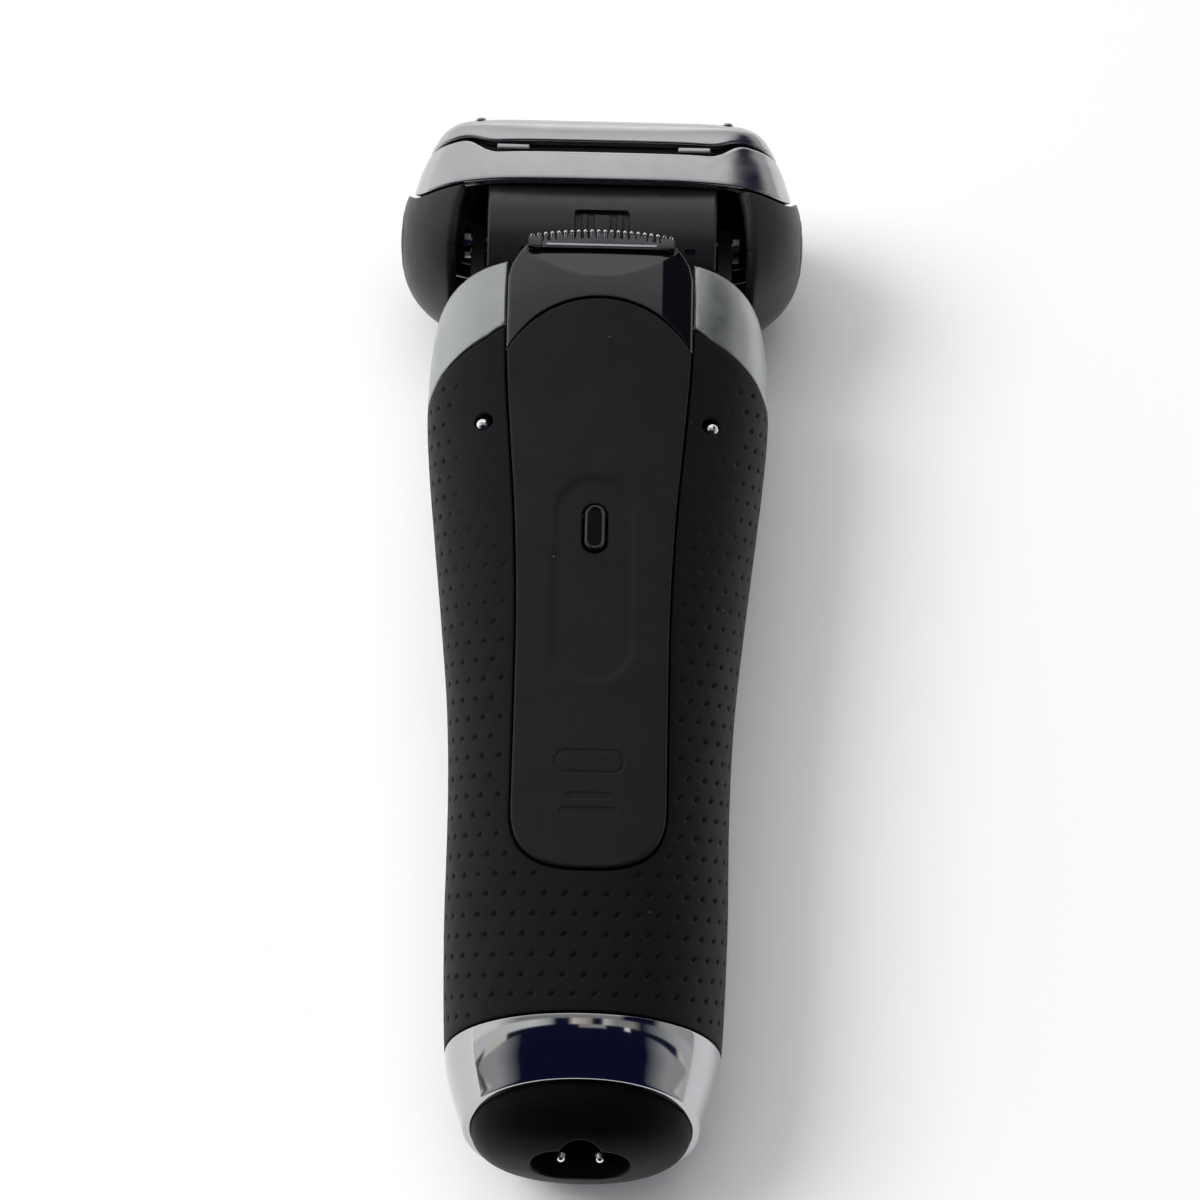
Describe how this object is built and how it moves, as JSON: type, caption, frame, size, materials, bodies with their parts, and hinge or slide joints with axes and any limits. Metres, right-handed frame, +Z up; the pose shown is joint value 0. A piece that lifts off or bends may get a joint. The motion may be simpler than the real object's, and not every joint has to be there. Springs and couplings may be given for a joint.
{
  "type": "electric foil shaver",
  "caption": "Cordless foil shaver lying on its front: tilting head with lift-off foil cassette, slide-up trimmer on the back, dimpled grip and chrome foot ring.",
  "frame": {"origin": "on the table under the middle of the shaver as it lies on its front", "axes": "+X across the width, +Y along the length from the foot to the foils, +Z up, from the front to the back of the shaver"},
  "size_m": [0.065, 0.1712, 0.038],
  "materials": {
    "satin_silver": "satin silver lacquer",
    "chrome_band": "polished chrome plating",
    "grip_rubber": "soft-touch rubber with small dimples",
    "soft_pad": "smooth soft-touch pad",
    "housing": "satin moulded plastic",
    "dark_plastic": "satin black plastic",
    "gloss_black": "piano black",
    "blade_steel": "ground stainless steel",
    "foil_metal": "perforated foil",
    "contact_metal": "polished contact metal",
    "motor_iron": "laminated iron",
    "coil_copper": "enamelled copper wire",
    "board_green": "circuit board",
    "cell_wrap": "wrapped cell"
  },
  "bodies": {
    "handle": {"front_shell": "satin_silver", "rear_grip": "grip_rubber", "base_ring": "chrome_band", "base_cap": "dark_plastic", "socket_block": "dark_plastic", "socket_pin_left": "contact_metal", "socket_pin_right": "contact_metal", "charge_contact_left": "contact_metal", "charge_contact_right": "contact_metal", "chassis": "dark_plastic", "battery": "cell_wrap", "battery_tab_negative": "contact_metal", "battery_tab_positive": "contact_metal", "circuit_board": "board_green", "display_board": "board_green", "yoke_left": "housing", "yoke_right": "housing", "pivot_pin_left": "blade_steel", "pivot_pin_right": "blade_steel", "button_bezel": "chrome_band", "display_window": "gloss_black", "lock_bed": "dark_plastic"},
    "power_button": {"power_button": "housing"},
    "head_lock": {"head_lock_knob": "satin_silver"},
    "trimmer": {"trimmer_carrier": "gloss_black", "trimmer_pad": "soft_pad", "trimmer_comb": "blade_steel"},
    "trimmer_blade": {"trimmer_blade": "blade_steel"},
    "trimmer_release": {"trimmer_release_button": "gloss_black"},
    "head": {"head_core": "housing", "head_deck": "dark_plastic", "side_cover_left": "housing", "side_cover_right": "housing", "motor_core": "motor_iron", "motor_coil": "coil_copper", "pin_seal_front": "grip_rubber", "pin_seal_rear": "grip_rubber"},
    "release_left": {"release_button_left": "housing"},
    "release_right": {"release_button_right": "housing"},
    "armature_front": {"armature_front": "motor_iron"},
    "armature_rear": {"armature_rear": "motor_iron"},
    "cassette": {"cassette_frame": "chrome_band", "cassette_liner": "housing", "foil_frame": "chrome_band", "foil_clip_left": "blade_steel", "foil_clip_right": "blade_steel"},
    "foil_unit_front": {"foil_front": "foil_metal", "foil_cartridge_front": "dark_plastic"},
    "cutter_front": {"cutter_front": "blade_steel"},
    "middle_unit_front": {"middle_guard_front": "blade_steel"},
    "middle_blade_front": {"middle_blade_front": "blade_steel"},
    "foil_unit_rear": {"foil_rear": "foil_metal", "foil_cartridge_rear": "dark_plastic"},
    "cutter_rear": {"cutter_rear": "blade_steel"},
    "middle_unit_rear": {"middle_guard_rear": "blade_steel"},
    "middle_blade_rear": {"middle_blade_rear": "blade_steel"}
  },
  "joints": [
    {"name": "power_press", "type": "slide", "parent": "handle", "child": "power_button", "axis": [0, 0, 1], "range_m": [0, 0.0008], "stiffness_N_per_m": 500},
    {"name": "head_lock_slide", "type": "slide", "parent": "handle", "child": "head_lock", "axis": [0, 1, 0], "range_m": [0, 0.003]},
    {"name": "trimmer_slide", "type": "slide", "parent": "handle", "child": "trimmer", "axis": [0, 1, 0], "range_m": [0, 0.0095]},
    {"name": "trimmer_blade_stroke", "type": "slide", "parent": "trimmer", "child": "trimmer_blade", "axis": [1, 0, 0], "range_m": [-0.0008, 0.0008], "stiffness_N_per_m": 100},
    {"name": "trimmer_release_press", "type": "slide", "parent": "trimmer", "child": "trimmer_release", "axis": [0, 0, -1], "range_m": [0, 0.0008], "stiffness_N_per_m": 500},
    {"name": "head_tilt", "type": "hinge", "parent": "handle", "child": "head", "pos_m": [0, 0.06965, 0.018], "axis": [1, 0, 0], "range_deg": [-18, 18], "stiffness_Nm_per_rad": 0.4},
    {"name": "release_left_press", "type": "slide", "parent": "head", "child": "release_left", "axis": [1, 0, 0], "range_m": [0, 0.0012], "stiffness_N_per_m": 800},
    {"name": "release_right_press", "type": "slide", "parent": "head", "child": "release_right", "axis": [-1, 0, 0], "range_m": [0, 0.0012], "stiffness_N_per_m": 800},
    {"name": "drive_front", "type": "slide", "parent": "head", "child": "armature_front", "axis": [1, 0, 0], "range_m": [-0.0012, 0.0012], "stiffness_N_per_m": 500},
    {"name": "drive_rear", "type": "slide", "parent": "head", "child": "armature_rear", "axis": [1, 0, 0], "range_m": [-0.0012, 0.0012]},
    {"name": "cassette_lift", "type": "slide", "parent": "head", "child": "cassette", "axis": [0, 1, 0], "range_m": [0, 0.018]},
    {"name": "foil_float_front", "type": "slide", "parent": "cassette", "child": "foil_unit_front", "axis": [0, -1, 0], "range_m": [0, 0.0018], "stiffness_N_per_m": 300},
    {"name": "middle_float_front", "type": "slide", "parent": "cassette", "child": "middle_unit_front", "axis": [0, -1, 0], "range_m": [0, 0.0016], "stiffness_N_per_m": 300},
    {"name": "cutter_stroke_front", "type": "slide", "parent": "foil_unit_front", "child": "cutter_front", "axis": [1, 0, 0], "range_m": [-0.0012, 0.0012]},
    {"name": "middle_stroke_front", "type": "slide", "parent": "middle_unit_front", "child": "middle_blade_front", "axis": [1, 0, 0], "range_m": [-0.0012, 0.0012]},
    {"name": "foil_float_rear", "type": "slide", "parent": "cassette", "child": "foil_unit_rear", "axis": [0, -1, 0], "range_m": [0, 0.0018], "stiffness_N_per_m": 300},
    {"name": "middle_float_rear", "type": "slide", "parent": "cassette", "child": "middle_unit_rear", "axis": [0, -1, 0], "range_m": [0, 0.0016], "stiffness_N_per_m": 300},
    {"name": "cutter_stroke_rear", "type": "slide", "parent": "foil_unit_rear", "child": "cutter_rear", "axis": [1, 0, 0], "range_m": [-0.0012, 0.0012]},
    {"name": "middle_stroke_rear", "type": "slide", "parent": "middle_unit_rear", "child": "middle_blade_rear", "axis": [1, 0, 0], "range_m": [-0.0012, 0.0012]}
  ],
  "couplings": [
    {"joint": "drive_rear", "follows": "drive_front", "ratio": -1},
    {"joint": "cutter_stroke_front", "follows": "drive_front", "ratio": 1},
    {"joint": "cutter_stroke_rear", "follows": "drive_front", "ratio": -1},
    {"joint": "middle_stroke_front", "follows": "drive_front", "ratio": 1},
    {"joint": "middle_stroke_rear", "follows": "drive_front", "ratio": -1}
  ]
}
